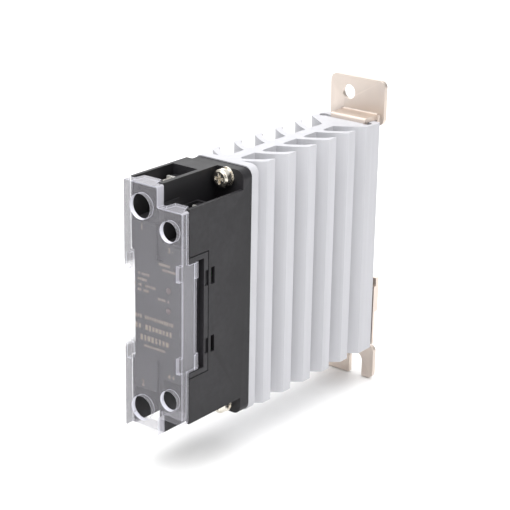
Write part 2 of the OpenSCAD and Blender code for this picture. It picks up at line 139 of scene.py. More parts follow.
class Tree:
    """A node tree that is filled by one method."""

    def __init__(self, tree):
        self.tree = tree

    def add(self, kind, settings=None, sockets=None):
        node = self.tree.nodes.new(kind)
        for key, value in (settings or {}).items():
            if key == "stops":
                self.set_stops(node.color_ramp, value)
            else:
                setattr(node, key, value)
        for key, value in (sockets or {}).items():
            if isinstance(value, Placed):
                value = value.out()
            if isinstance(value, Value):
                self.tree.links.new(value.socket, node.inputs[key])
            else:
                node.inputs[key].default_value = value
        return Placed(self, node)

    @staticmethod
    def set_stops(ramp, stops):
        while len(ramp.elements) < len(stops):
            ramp.elements.new(0.5)
        for element, (place, level) in zip(ramp.elements, stops):
            element.position = place
            element.color = (level, level, level, 1)

    def mix(self, factor, a, b):
        """Blend of two colours."""
        node = self.tree.nodes.new("ShaderNodeMix")
        node.data_type = "RGBA"
        for index, value in ((0, factor), (6, a), (7, b)):
            if isinstance(value, Value):
                self.tree.links.new(value.socket, node.inputs[index])
            else:
                node.inputs[index].default_value = value
        return Value(self, node.outputs[2])


# ------------------------------------------------------------ materials


def rgba(colour, factor=1.0):
    return (*[min(1.0, c * factor) for c in colour[:3]], 1.0)


class Finish(Tree):
    """A material with one Principled shader, filled from object coordinates."""

    def __init__(self, name, **fixed):
        self.material = bpy.data.materials.new(name)
        self.material.use_nodes = True
        super().__init__(self.material.node_tree)
        self.shader = self.tree.nodes["Principled BSDF"]
        for key, value in fixed.items():
            title = key.replace("_", " ").title().replace("Ior", "IOR")
            self.shader.inputs[title].default_value = value
        self.coordinates = self.add("ShaderNodeTexCoord").out("Object")

    def feed(self, socket, value):
        self.tree.links.new(value.socket, self.shader.inputs[socket])

    def stretched(self, scale):
        return self.add("ShaderNodeMapping", {}, {
            "Vector": self.coordinates, "Scale": scale,
        }).out()

    def noise(self, scale, detail=3.0, roughness=0.55, stretch=None):
        vector = self.stretched(stretch) if stretch else self.coordinates
        return self.add("ShaderNodeTexNoise", {}, {
            "Vector": vector, "Scale": scale, "Detail": detail, "Roughness": roughness,
        }).out("Fac")

    def ramp(self, value, *stops):
        return self.add("ShaderNodeValToRGB", {"stops": stops}, {"Fac": value}).out("Color")

    def edges(self, low=0.5, high=0.58):
        """1 on outward edges, where plating and plastic wear first."""
        point = self.add("ShaderNodeNewGeometry").out("Pointiness")
        return self.ramp(point, (low, 0.0), (high, 1.0))

    def bump(self, height, strength, distance):
        self.feed("Normal", self.add("ShaderNodeBump", {}, {
            "Height": height, "Strength": strength, "Distance": distance,
        }).out())


def moulded(name, colour, rough=0.45, grain=0.35, wear=1.35):
    """Moulded plastic: fine spark texture, slight clouding, paler worn edges."""
    finish = Finish(name, specular_ior_level=0.22)
    cloud = finish.noise(90.0, 4.0)
    fine = finish.noise(2600.0, 2.0)
    base = finish.mix(cloud, rgba(colour, 0.82), rgba(colour, 1.2))
    rub = finish.edges(0.51, 0.6) * finish.noise(500.0)
    finish.feed("Base Color", finish.mix(rub, base, rgba(colour, 1.0 + wear)))
    finish.feed("Roughness", (rough - 0.1 + 0.2 * cloud + 0.06 * fine).clipped())
    finish.bump(fine + 0.6 * finish.noise(6200.0, 1.0), grain, 0.00003)
    return finish.material


def plated(name, colour, rough=0.28, blotch=0.16, tint=None, lines=None):
    """Plated steel: soft blotches, fine drawing lines and brighter edges."""
    finish = Finish(name, metallic=1.0)
    cloud = finish.noise(160.0, 5.0, 0.6)
    fine = finish.noise(900.0, 3.0, 0.6, lines or (1.0, 1.0, 1.0))
    base = finish.mix(cloud, rgba(colour, 1.0 - blotch), rgba(colour, 1.0 + blotch))
    if tint:
        warm = finish.ramp(finish.noise(60.0, 2.0), (0.45, 0.0), (0.75, 0.8))
        base = finish.mix(warm, base, rgba(tint))
    finish.feed("Base Color", finish.mix(finish.edges() * 0.6, base, rgba(colour, 1.25)))
    finish.feed("Roughness", (rough + 0.16 * cloud + 0.1 * fine).clipped())
    finish.bump(fine, 0.25, 0.00002)
    return finish.material


def extruded_aluminium(name, colour, rough):
    """Matt pickled extrusion: die lines along the height, faint mottling."""
    finish = Finish(name, metallic=0.3, specular_ior_level=0.4)
    die = finish.noise(420.0, 3.0, 0.7, (1.0, 1.0, 0.015))
    cloud = finish.noise(45.0, 5.0, 0.6)
    speck = finish.noise(2400.0, 2.0)
    base = finish.mix(cloud, rgba(colour, 0.93), rgba(colour, 1.05))
    base = finish.mix(finish.ramp(die, (0.35, 0.35), (0.6, 0.0)), base, rgba(colour, 0.8))
    finish.feed("Base Color", finish.mix(finish.edges(0.52, 0.62) * 0.5, base, rgba(colour, 1.2)))
    finish.feed("Roughness", (rough + 0.12 * die + 0.1 * cloud).clipped())
    finish.bump(die + 0.35 * speck, 0.3, 0.00004)
    return finish.material


def clear_moulding(name, colour, veil, lit=1.0):
    """Clear moulded plastic: faintly milky faces, and walls with painted light and painted shade.

    The piece's glow attribute says how much painted light a wall gets. A second face attribute
    sets painted shade on the left outer wall: the dark housing is painted in as if seen through
    it, clear of the side flaps."""
    finish = Finish(name, ior=1.5, specular_ior_level=0.35)
    # Painted light: the glow attribute, raised by the Fresnel node on walls that face the eye,
    # whitens the colour and alpha below
    carried = finish.add("ShaderNodeAttribute", {"attribute_name": "glow"}).out("Fac")
    inner = finish.add("ShaderNodeFresnel", {}, {"IOR": 0.67}).out()
    glow = carried * (0.1 + 0.9 * inner)
    # Painted shade: near-black colour on the left outer wall, kept off the band of the side flaps
    height = finish.add("ShaderNodeSeparateXYZ", {}, {"Vector": finish.coordinates}).out("Z")
    flapless = finish.ramp(60.0 * height * height, (0.0, 0.0), (0.0105, 0.0), (0.0115, 1.0))
    dark = finish.add("ShaderNodeAttribute", {"attribute_name": "smoke"}).out("Fac") * flapless
    haze = finish.noise(38.0, 3.0)
    # Painted light whitens the colour and painted shade darkens it; both also make the wall less
    # clear
    base = finish.mix(glow, rgba(colour), (0.86, 0.86, 0.95, 1.0))
    finish.feed("Base Color", finish.mix(dark, base, (0.03, 0.03, 0.034, 1.0)))
    finish.feed("Roughness", 0.1 + 0.06 * haze + 0.1 * glow)
    finish.feed("Alpha", (veil * (0.7 + 0.6 * haze) + lit * (glow + dark)).clipped())
    finish.bump(haze, 0.05, 0.00004)
    finish.material.surface_render_method = "BLENDED"
    return finish.material


def tinted_lens(name, colour):
    finish = Finish(name, ior=1.5, coat_weight=0.5)
    cloud = finish.noise(1800.0, 2.0)
    finish.feed("Base Color", finish.mix(cloud, rgba(colour, 0.7), rgba(colour, 1.3)))
    finish.feed("Roughness", 0.12 + 0.2 * cloud)
    finish.bump(cloud, 0.2, 0.00003)
    return finish.material


def print_ink(name, colour):
    """Pad-printed ink with slightly uneven cover."""
    finish = Finish(name, specular_ior_level=0.3)
    patch = finish.noise(1500.0, 4.0, 0.7)
    finish.feed("Base Color", finish.mix(finish.ramp(patch, (0.3, 0.0), (0.6, 1.0)),
                                         rgba(colour, 0.6), rgba(colour)))
    finish.feed("Roughness", 0.5 + 0.2 * patch)
    return finish.material


def board_mask(name, colour):
    """Solder mask with copper tracks that show as paler lines beneath it."""
    finish = Finish(name, coat_weight=0.3)
    tracks = finish.add("ShaderNodeTexBrick", {"offset": 0.5}, {
        "Vector": finish.stretched((1.0, 1.0, 1.0)), "Scale": 420.0, "Mortar Size": 0.04,
        "Color1": (0, 0, 0, 1), "Color2": (0.3, 0.3, 0.3, 1), "Mortar": (1, 1, 1, 1),
    }).out("Fac")
    finish.feed("Base Color", finish.mix(tracks, rgba(colour, 0.8), rgba(colour, 1.7)))
    finish.feed("Roughness", 0.3 + 0.15 * finish.noise(700.0))
    finish.bump(tracks, 0.3, 0.00003)
    return finish.material


def all_finishes(look):
    black = tuple(look.plastic)
    zinc = tuple(look.zinc)
    nickel = tuple(look.nickel)
    return {
        "clear_cover": clear_moulding("clear_cover", (0.5, 0.49, 0.53), 0.13),
        # Rounded edges of the cover: paler and less clear than its faces, a painted highlight
        # along them
        "clear_edge": clear_moulding("clear_edge", (0.66, 0.66, 0.74), 0.75, 0.0),
        "bezel_plastic": moulded("bezel_plastic", [1.3 * c for c in black], 0.42, 0.12),
        "housing_plastic": moulded("housing_plastic", black, 0.45),
        "lens_red": tinted_lens("lens_red", (0.05, 0.013, 0.011)),
        "legend_ink": print_ink("legend_ink", (0.26, 0.21, 0.15)),
        "screw_nickel": plated("screw_nickel", nickel, 0.14, 0.12, (0.75, 0.66, 0.5)),
        "clamp_steel": plated("clamp_steel", (0.7, 0.68, 0.65), 0.3, 0.12, None, (0.1, 1.0, 1.0)),
        "terminal_tin": plated("terminal_tin", (0.78, 0.77, 0.74), 0.34, 0.1, None,
                               (1.0, 0.1, 1.0)),
        "nut_steel": plated("nut_steel", (0.62, 0.6, 0.56), 0.4),
        "board_green": board_mask("board_green", (0.02, 0.14, 0.05)),
        "lamp_green": tinted_lens("lamp_green", (0.1, 0.5, 0.14)),
        "lamp_red": tinted_lens("lamp_red", (0.6, 0.05, 0.03)),
        "chip_white": moulded("chip_white", (0.75, 0.74, 0.68), 0.5, 0.2, 0.1),
        "chip_black": moulded("chip_black", (0.03, 0.03, 0.032), 0.5, 0.3),
        "varistor_blue": moulded("varistor_blue", (0.03, 0.09, 0.32), 0.3, 0.1, 0.4),
        "capacitor_yellow": moulded("capacitor_yellow", (0.6, 0.42, 0.05), 0.35, 0.1, 0.3),
        "resistor_teal": moulded("resistor_teal", (0.1, 0.28, 0.32), 0.35, 0.1, 0.3),
        "sensor_black": moulded("sensor_black", (0.035, 0.03, 0.028), 0.5, 0.3),
        "silicon": plated("silicon", (0.3, 0.32, 0.38), 0.12, 0.05),
        "ceramic_white": moulded("ceramic_white", (0.8, 0.8, 0.76), 0.4, 0.15, 0.05),
        "base_copper": plated("base_copper", (0.78, 0.42, 0.26), 0.35, 0.15, (0.5, 0.25, 0.16)),
        "pad_grey": moulded("pad_grey", (0.3, 0.31, 0.33), 0.7, 0.3, 0.1),
        "screw_zinc": plated("screw_zinc", (0.74, 0.7, 0.63), 0.12, 0.1, (0.78, 0.68, 0.5)),
        "sink_aluminium": extruded_aluminium("sink_aluminium", tuple(look.aluminium),
                                             look.sink_rough),
        "bracket_zinc": plated("bracket_zinc", zinc, 0.33, 0.07, (0.74, 0.64, 0.54),
                               (1.0, 1.0, 0.1)),
        "spring_steel": plated("spring_steel", (0.55, 0.55, 0.54), 0.3),
    }


FINISH = {}


def finish_for(slot):
    if not FINISH:
        FINISH.update(all_finishes(bpy.context.scene.relay_look))
    return FINISH[slot]


SLOT_OF = {part["node"]: part["material_slot"] for part in frame["record"]["subparts"]}


# ------------------------------------------------------------ mesh helpers


def link(name, mesh):
    piece = bpy.data.objects.new(name, mesh)
    bpy.context.collection.objects.link(piece)
    return piece


def settle(piece, body, slot, nodes=(), finishes=()):
    """Paint a piece, hand it to its body and hide the nodes that it stands for."""
    piece.data.materials.clear()
    for name in finishes or (slot,):
        piece.data.materials.append(finish_for(name))
    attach(piece, body)
    if nodes:
        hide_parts(*nodes)
    return piece


def body_of(node):
    for body, nodes in frame["record"]["behaviour"]["bodies"].items():
        if node in nodes:
            return body
    raise RuntimeError(f"no body holds {node}")


def merged_mesh(node):
    """A copy of a node's mesh with its loose triangles joined into faces."""
    bm = bmesh.new()
    bm.from_mesh(frame["nodes"][node].data)
    bmesh.ops.remove_doubles(bm, verts=bm.verts, dist=2e-6)
    bmesh.ops.dissolve_limit(bm, angle_limit=math.radians(0.8), verts=bm.verts, edges=bm.edges)
    for face in bm.faces:
        face.smooth = True
    mesh = bpy.data.meshes.new(node + "_soft")
    bm.to_mesh(mesh)
    bm.free()
    for extra in ("custom_normal", "sharp_edge"):
        if extra in mesh.attributes:
            mesh.attributes.remove(mesh.attributes[extra])
    return mesh


def bevel(piece, width, segments=2, angle=35.0, weighted=False):
    soft = piece.modifiers.new("Soft edges", "BEVEL")
    soft.width = width * MM
    soft.segments = segments
    soft.limit_method = "WEIGHT" if weighted else "ANGLE"
    soft.angle_limit = math.radians(angle)
    soft.use_clamp_overlap = not weighted
    soft.harden_normals = True
    return soft


def softened(node, width, name, segments=2):
    """A node with rounded edges, as moulding, stamping or turning leaves them."""
    piece = link(name, merged_mesh(node))
    bevel(piece, width, segments)
    return settle(piece, body_of(node), SLOT_OF[node], [node])


def baked(piece, name):
    """The evaluated shape of a piece as a plain mesh, in place of the piece."""
    graph = bpy.context.evaluated_depsgraph_get()
    mesh = bpy.data.meshes.new_from_object(piece.evaluated_get(graph), depsgraph=graph)
    mesh.name = name
    bpy.data.objects.remove(piece)
    if not mesh.polygons:
        raise RuntimeError(f"{name} came out empty")
    return link(name, mesh)


def joined(name, pieces):
    """Several plain pieces as one mesh."""
    bm = bmesh.new()
    for piece in pieces:
        bm.from_mesh(piece.data)
        bpy.data.objects.remove(piece)
    bmesh.ops.remove_doubles(bm, verts=bm.verts, dist=1e-7)
    mesh = bpy.data.meshes.new(name)
    bm.to_mesh(mesh)
    bm.free()
    return link(name, mesh)


def smooth(piece, angle=35.0):
    piece.data.shade_smooth()
    piece.data.set_sharp_from_angle(angle=math.radians(angle))
    return piece


# ------------------------------------------------------------ geometry trees


class Shape(Tree):
    """A geometry tree with named inputs, ended by Realize Instances and Set Material."""

    def __init__(self, name, **inputs):
        group = bpy.data.node_groups.new(name, "GeometryNodeTree")
        super().__init__(group)
        group.interface.new_socket("Geometry", in_out="OUTPUT", socket_type="NodeSocketGeometry")
        self.names = {}
        for key, kind in inputs.items():
            socket = group.interface.new_socket(
                key.replace("_", " ").capitalize(), in_out="INPUT",
                socket_type="NodeSocket" + kind)
            self.names[key] = socket.identifier
        self.source = self.add("NodeGroupInput")

    def given(self, key):
        return self.source.out(key.replace("_", " ").capitalize())

    def xyz(self, x=0.0, y=0.0, z=0.0):
        return self.add("ShaderNodeCombineXYZ", {}, {"X": x, "Y": y, "Z": z}).out()

    def moved(self, geometry, place=None, turn=(0.0, 0.0, 0.0), scale=(1.0, 1.0, 1.0)):
        return self.add("GeometryNodeTransform", {}, {
            "Geometry": geometry, "Translation": place if place is not None else (0.0, 0.0, 0.0),
            "Rotation": turn, "Scale": scale,
        }).out()

    def join(self, *parts):
        node = self.add("GeometryNodeJoinGeometry")
        for part in parts:
            self.tree.links.new(part.socket, node.node.inputs[0])
        return node.out()

    def end(self, geometry):
        real = self.add("GeometryNodeRealizeInstances", {}, {"Geometry": geometry})
        painted = self.add("GeometryNodeSetMaterial", {}, {
            "Geometry": real, "Material": self.given("finish"),
        })
        self.add("NodeGroupOutput", {}, {"Geometry": painted})
        return self

    def make(self, name, **values):
        """Run the tree with these values and return its plain mesh."""
        carrier = link(name + "_rule", bpy.data.meshes.new(name + "_rule"))
        rule = carrier.modifiers.new("Rule", "NODES")
        rule.node_group = self.tree
        for key, value in values.items():
            rule[self.names[key]] = value
        return baked(carrier, name)


def fin_shape():
    """Curved fins: one outline, filled, drawn up and repeated on both sides."""
    t = Shape("Curved fins", outline="Object", fins="Int", pitch="Float", height="Float",
              finish="Material")
    outline = t.add("GeometryNodeObjectInfo", {}, {"Object": t.given("outline")}).out("Geometry")
    flat = t.add("GeometryNodeFillCurve", {"mode": "NGONS"}, {"Curve": outline}).out()
    drawn = t.add("GeometryNodeExtrudeMesh", {"mode": "FACES"}, {
        "Mesh": flat, "Offset": t.xyz(z=1.0), "Offset Scale": t.given("height"),
        "Individual": False,
    }).out()
    base = t.add("GeometryNodeFlipFaces", {}, {"Mesh": flat}).out()
    fin = t.add("GeometryNodeMergeByDistance", {}, {
        "Geometry": t.join(drawn, base), "Distance": WELD,
    }).out()
    fin = t.moved(fin, t.xyz(z=t.given("height") * -0.5))
    line = t.add("GeometryNodeMeshLine", {}, {
        "Count": t.given("fins"), "Offset": t.xyz(y=t.given("pitch")),
    }).out()
    row = t.add("GeometryNodeInstanceOnPoints", {}, {"Points": line, "Instance": fin}).out()
    row = t.add("GeometryNodeRealizeInstances", {}, {"Geometry": row}).out()
    mirrored = t.moved(row, scale=(-1.0, 1.0, 1.0))
    other = t.add("GeometryNodeFlipFaces", {}, {"Mesh": mirrored}).out()
    return t.end(t.join(row, other))


def coil_shape(name):
    """A round wire or ridge wound along a straight axis."""
    t = Shape(name, turns="Float", radius="Float", wire="Float", length="Float", sides="Int",
              place="Vector", turn="Vector", finish="Material")
    path = t.add("GeometryNodeCurveSpiral", {}, {
        "Resolution": 28, "Rotations": t.given("turns"), "Start Radius": t.given("radius"),
        "End Radius": t.given("radius"), "Height": t.given("length"),
    }).out()
    ring = t.add("GeometryNodeCurvePrimitiveCircle", {}, {
        "Resolution": t.given("sides"), "Radius": t.given("wire"),
    }).out()
    wound = t.add("GeometryNodeCurveToMesh", {}, {
        "Curve": path, "Profile Curve": ring, "Fill Caps": True,
    }).out()
    return t.end(t.moved(wound, t.given("place"), t.given("turn")))


def mark_shape():
    """A printed row of small blocks of uneven size, with gaps between the words."""
    t = Shape("Printed row", blocks="Int", pitch="Float", tall="Float", thick="Float",
              seed="Int", place="Vector", finish="Material")
    line = t.add("GeometryNodeMeshLine", {}, {
        "Count": t.given("blocks"), "Offset": t.xyz(x=t.given("pitch")),
    }).out()
    wide = t.add("FunctionNodeRandomValue", {}, {
        2: 0.5, 3: 0.82, "Seed": t.given("seed"),
    }).out(1)
    high = t.add("FunctionNodeRandomValue", {}, {
        2: 0.72, 3: 1.0, "Seed": t.given("seed") + 5.0,
    }).out(1)
    space = t.add("FunctionNodeRandomValue", {"data_type": "BOOLEAN"}, {
        "Probability": 0.14, "Seed": t.given("seed") + 9.0,
    }).out(3)
    line = t.add("GeometryNodeDeleteGeometry", {"domain": "POINT"}, {
        "Geometry": line, "Selection": space,
    }).out()
    block = t.add("GeometryNodeMeshCube", {}, {
        "Size": t.xyz(t.given("pitch"), t.given("thick"), t.given("tall")),
    }).out()
    row = t.add("GeometryNodeInstanceOnPoints", {}, {
        "Points": line, "Instance": block, "Scale": t.xyz(wide, 1.0, high),
    }).out()
    return t.end(t.moved(row, t.given("place")))


SHAPES = {}


def shape(key):
    makers = {
        "fins": fin_shape,
        "thread": lambda: coil_shape("Screw thread"),
        "spring": lambda: coil_shape("Spring coil"),
        "marks": mark_shape,
    }
    if key not in SHAPES:
        SHAPES[key] = makers[key]()
    return SHAPES[key]


# ------------------------------------------------------------ sizes and colours


class RelayLook(bpy.types.PropertyGroup):
    """Colours and finishes."""

    plastic: FloatVectorProperty(
        name="Plastic", description="Colour of the black plastic", subtype="COLOR",
        default=(0.012, 0.0115, 0.013), min=0.0, max=1.0)
    zinc: FloatVectorProperty(
        name="Zinc", description="Colour of the plated sheet parts", subtype="COLOR",
        default=(0.6, 0.53, 0.48), min=0.0, max=1.0)
    nickel: FloatVectorProperty(
        name="Nickel", description="Colour of the plated screws", subtype="COLOR",
        default=(0.7, 0.66, 0.58), min=0.0, max=1.0)
    aluminium: FloatVectorProperty(
        name="Aluminium", description="Colour of the heat sink", subtype="COLOR",
        default=(0.5, 0.5, 0.525), min=0.0, max=1.0)
    sink_rough: FloatProperty(
        name="Sink roughness", description="How matt the heat sink is", subtype="FACTOR",
        default=0.55, min=0.2, max=0.8)


class RelaySizes(bpy.types.PropertyGroup):
    """Sizes that a user may change."""

    mould_edge: FloatProperty(
        name="Moulded edge", description="Rounding of the plastic edges, in mm",
        default=0.18, min=0.05, max=0.4)
    sheet_fold: FloatProperty(
        name="Sheet fold", description="Outer radius of the folds in sheet parts, in mm",
        default=1.1, min=0.2, max=1.55)
    fins: IntProperty(
        name="Fins", description="Curved fins on each side of the sink", default=5, min=1, max=5)
    fin_pitch: FloatProperty(
        name="Fin pitch", description="Distance from fin to fin", subtype="DISTANCE",
        unit="LENGTH", default=0.01064, precision=5)
    load_pitch: FloatProperty(
        name="Load screw pitch", description="Pitch of the larger screws", subtype="DISTANCE",
        unit="LENGTH", default=0.0007, precision=5)
    control_pitch: FloatProperty(
        name="Control screw pitch", description="Pitch of the smaller screws", subtype="DISTANCE",
        unit="LENGTH", default=0.0005, precision=5)
    spring_turns: FloatProperty(
        name="Spring turns", description="Turns of the latch spring",
        default=7.0, min=3.0, max=9.0)


# ------------------------------------------------------------ pieces


class RELAY_OT_cover(bpy.types.Operator):
    """Clear front cover with its clip flaps"""
    bl_idname = "relay.cover"
    bl_label = "Front cover"

    @staticmethod
    def carried_light(face):
        """How much light is painted on a wall of the cover: most in the screw holes, less near the
        front, less again on upward faces, least elsewhere; none on faces that look forward or
        back.
        """
        if abs(face.normal.y) > 0.5:
            return 0.0
        for kind, hole in (("load", LOAD_HOLE), ("control", CONTROL_HOLE)):
            for end in ("top", "bottom"):
                away = (face.center - middle(f"{kind}_screw_{end}")).xz.length
                if away < (hole + 0.1) * MM:
                    return 0.85
                if away < (hole + 0.9) * MM:
                    return 0.0
        if face.center.y < at(0, 2.6, 0).y:
            return 0.38
        return 0.22 if face.normal.z > 0.5 else 0.1

    def execute(self, context):
        mesh = merged_mesh("front_cover")
        glow = mesh.attributes.new("glow", "FLOAT", "FACE")
        smoke = mesh.attributes.new("smoke", "FLOAT", "FACE")
        for face in mesh.polygons:
            glow.data[face.index].value = self.carried_light(face)
            # The left outer wall gets painted shade instead of painted light: the dark housing
            # painted on as if seen through it
            if face.normal.x < -0.5 and face.center.x < -11.0 * MM:
                glow.data[face.index].value = 0.0
                smoke.data[face.index].value = 0.66
        piece = link("clear_cover", mesh)
        # The rounded edges take the second finish, a painted highlight
        bevel(piece, context.scene.relay_sizes.mould_edge * 0.85, 2).material = 1
        settle(piece, "cover", "clear_cover", ["front_cover"], ["clear_cover", "clear_edge"])
        return {"FINISHED"}


class RELAY_OT_housing(bpy.types.Operator):
    """Black housing, bezel and indicator lenses"""
    bl_idname = "relay.housing"
    bl_label = "Housing"

    def execute(self, context):
        edge = context.scene.relay_sizes.mould_edge
        softened("housing", edge, "housing_shell", 2)
        softened("front_bezel", edge * 0.8, "bezel_face", 2)
        softened("input_lens", 0.08, "input_lens_window", 2)
        softened("alarm_lens", 0.08, "alarm_lens_window", 2)
        return {"FINISHED"}


# Rows of print on the bezel: left edge, middle height, width, height, pitch (mm)
ROWS = (
    (0.2, 15.0, 4.6, 0.9, 0.75), (1.6, 13.4, 5.6, 0.9, 0.7),
    (-8.7, 10.4, 5.6, 0.9, 0.75), (-8.2, 8.6, 4.0, 0.9, 0.75),
    (-9.4, 6.8, 8.6, 0.9, 0.7), (-8.2, 5.2, 5.0, 0.9, 0.75),
    (-0.2, 3.9, 5.0, 0.9, 0.75),
    (-9.3, -3.2, 15.6, 1.3, 0.95), (-9.4, -6.4, 15.2, 1.9, 1.35),
    (-7.4, -9.9, 11.6, 1.9, 1.45), (-5.8, -12.4, 8.4, 0.9, 0.7),
)
# Terminal numbers: text, left edge, lower edge, height (mm)
NUMBERS = (
    ("1", -7.0, 24.0, 2.2), ("2", -7.0, -25.9, 2.2),
    ("3", 3.6, 19.2, 1.8), ("4", 3.6, -20.8, 1.8),
    ("-", 5.2, 19.2, 1.8), ("+", 5.2, -20.8, 1.8),
)


def printed_text(words, x, z, tall, depth):
    """A flat number, made a mesh and set upright on the bezel."""
    curve = bpy.data.curves.new("number", "FONT")
    curve.body = words
    curve.size = tall * 1.35 * MM
    curve.extrude = 0.01 * MM
    piece = baked(link("number", curve), "number")
    upright = Matrix.Rotation(math.pi / 2, 4, "X")
    piece.data.transform(Matrix.Translation(at(x, depth, z)) @ upright)
    return piece


class RELAY_OT_legend(bpy.types.Operator):
    """Generic printed rows and terminal numbers on the bezel"""
    bl_idname = "relay.legend"
    bl_label = "Printed legend"

    def execute(self, context):
        ink = finish_for("legend_ink")
        depth = BEZEL_FACE - 0.005
        rows = [
            shape("marks").make(
                f"row_{i}", blocks=int(wide / pitch), pitch=pitch * MM, tall=tall * MM,
                thick=0.02 * MM, seed=i, place=at(x + pitch / 2, depth, z), finish=ink)
            for i, (x, z, wide, tall, pitch) in enumerate(ROWS)
        ]
        rows += [printed_text(*number, depth) for number in NUMBERS]
        legend = joined("printed_legend", rows)
        settle(legend, BODY, "bezel_plastic", finishes=["legend_ink"])
        return {"FINISHED"}


def threaded(node, pitch, core, name, body, head_depth):
    """A screw: its own head, a thinner core, and a wound thread ridge."""
    mesh = merged_mesh(node)
    centre = middle(node)
    low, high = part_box(node)
    shank = low.y + head_depth * MM
    widest = max((v.co - centre).xz.length for v in mesh.vertices if v.co.y > shank + 0.1 * MM)
    for v in mesh.vertices:
        if v.co.y > shank + 0.05 * MM:
            v.co.x = centre.x + (v.co.x - centre.x) * core
            v.co.z = centre.z + (v.co.z - centre.z) * core
    screw = link(name + "_core", mesh)
    bevel(screw, 0.16, 2)
    screw = baked(screw, name + "_core")
    length = high.y - shank - 0.4 * MM
    ridge = shape("thread").make(
        name + "_thread", turns=length / pitch, radius=widest * (core + 1) / 2 * 0.985,
        wire=widest * (1 - core) * 0.62, length=length, sides=3,
        place=(centre.x, shank + 0.2 * MM, centre.z), turn=(-math.pi / 2, 0.0, 0.0),
        finish=finish_for(SLOT_OF[node]))
    smooth(ridge, 50)
    piece = joined(name, [screw, ridge])
    return settle(piece, body, SLOT_OF[node], [node])


class RELAY_OT_terminals(bpy.types.Operator):
    """Terminal screws, clamps, bars and nuts"""
    bl_idname = "relay.terminals"
    bl_label = "Terminals"

    def execute(self, context):
        sizes = context.scene.relay_sizes
        for kind, pitch, head in (("load", sizes.load_pitch, 2.5),
                                  ("control", sizes.control_pitch, 2.1)):
            for end in ("top", "bottom"):
                node = f"{kind}_screw_{end}"
                threaded(node, pitch, 0.82, f"{kind}_screw_{end}_threaded", body_of(node), head)
                softened(f"{kind}_clamp_{end}", 0.14, f"{kind}_clamp_{end}_plate")
                softened(f"{kind}_terminal_{end}", 0.12, f"{kind}_bar_{end}")
            softened(f"{kind}_nuts", 0.15, f"{kind}_square_nuts")
        return {"FINISHED"}


class RELAY_OT_electronics(bpy.types.Operator):
    """Circuit board, its parts and the power stage inside the housing"""
    bl_idname = "relay.electronics"
    bl_label = "Electronics"

    def execute(self, context):
        for node in ("circuit_board", "optocoupler", "control_chip", "snubber_capacitor",
                     "thermal_sensor", "thyristor_chips", "ceramic_substrate", "base_plate",
                     "thermal_pad", "input_led", "alarm_led", "varistor", "snubber_resistor"):
            softened(node, 0.08, node + "_part")
        return {"FINISHED"}


class RELAY_OT_fixings(bpy.types.Operator):
    """Screws and washers that hold the housing to the sink"""
    bl_idname = "relay.fixings"
    bl_label = "Fixings"

    def execute(self, context):
        softened("fixing_screws", 0.18, "housing_screws", 3)
        softened("spring_washers", 0.08, "split_washers")
        softened("flat_washers", 0.06, "plain_washers")
        softened("plate_screws", 0.08, "rail_plate_screws")
        softened("guide_rivets", 0.2, "latch_rivets", 3)
        return {"FINISHED"}


def outline_curve(name, loops):
    """A flat curve with straight sides, filled between its closed loops."""
    curve = bpy.data.curves.new(name, "CURVE")
    curve.dimensions = "2D"
    curve.fill_mode = "BOTH"
    for loop in loops:
        line = curve.splines.new("POLY")
        line.points.add(len(loop) - 1)
        for point, (x, y) in zip(line.points, loop):
            point.co = (x, y, 0.0, 1.0)
        line.use_cyclic_u = True
    return curve


def arc(x, y, radius, start, end, steps):
    """Points on an arc; angles are in degrees."""
    return [(x + radius * math.cos(math.radians(start + (end - start) * i / steps)),
             y + radius * math.sin(math.radians(start + (end - start) * i / steps)))
            for i in range(steps + 1)]


def to_frame(loop):
    return [tuple(at(x, depth, 0.0).xy) for x, depth in loop]


def sink_section():
    """Spine and rear block seen from above, with the slot that takes the brackets."""
    half = [(2.2, 33.5), (2.2, 86.0), (11.0, 92.2), (11.2, 92.5), (11.2, 99.5), (11.1, 99.9),
            (10.7, 100.0)]
    outer = half + [(-x, y) for x, y in reversed(half)]
    right = arc(8.7, 96.0, 1.5, -143, 143, 20)
    left = [(-x, y) for x, y in reversed(right)]
    return [to_frame(outer), to_frame(right + left)]


def fin_outline():
    """One fin from its flared root to its flat tip, with a small bead behind it."""
    cx, cy, inner, outer, reach = -8.74, 59.95, 25.7, 27.9, 10.8

    def angle(x, radius):
        return -math.degrees(math.acos((x - cx) / radius))

    front = arc(cx, cy, outer, angle(1.8, outer), angle(reach, outer), 14)
    bead = arc(cx, cy, inner - 0.45, angle(reach, inner - 0.45), angle(9.5, inner - 0.45), 3)
    back = arc(cx, cy, inner, angle(8.9, inner), angle(3.4, inner), 10)
    x, y = back[-1]
    flare = [(x - 0.45, y + 0.1), (x - 0.85, y + 0.4), (x - 1.15, y + 0.95),
             (x - 1.3, y + 1.8), (1.8, y + 1.9)]
    return to_frame(front + bead + back + flare)


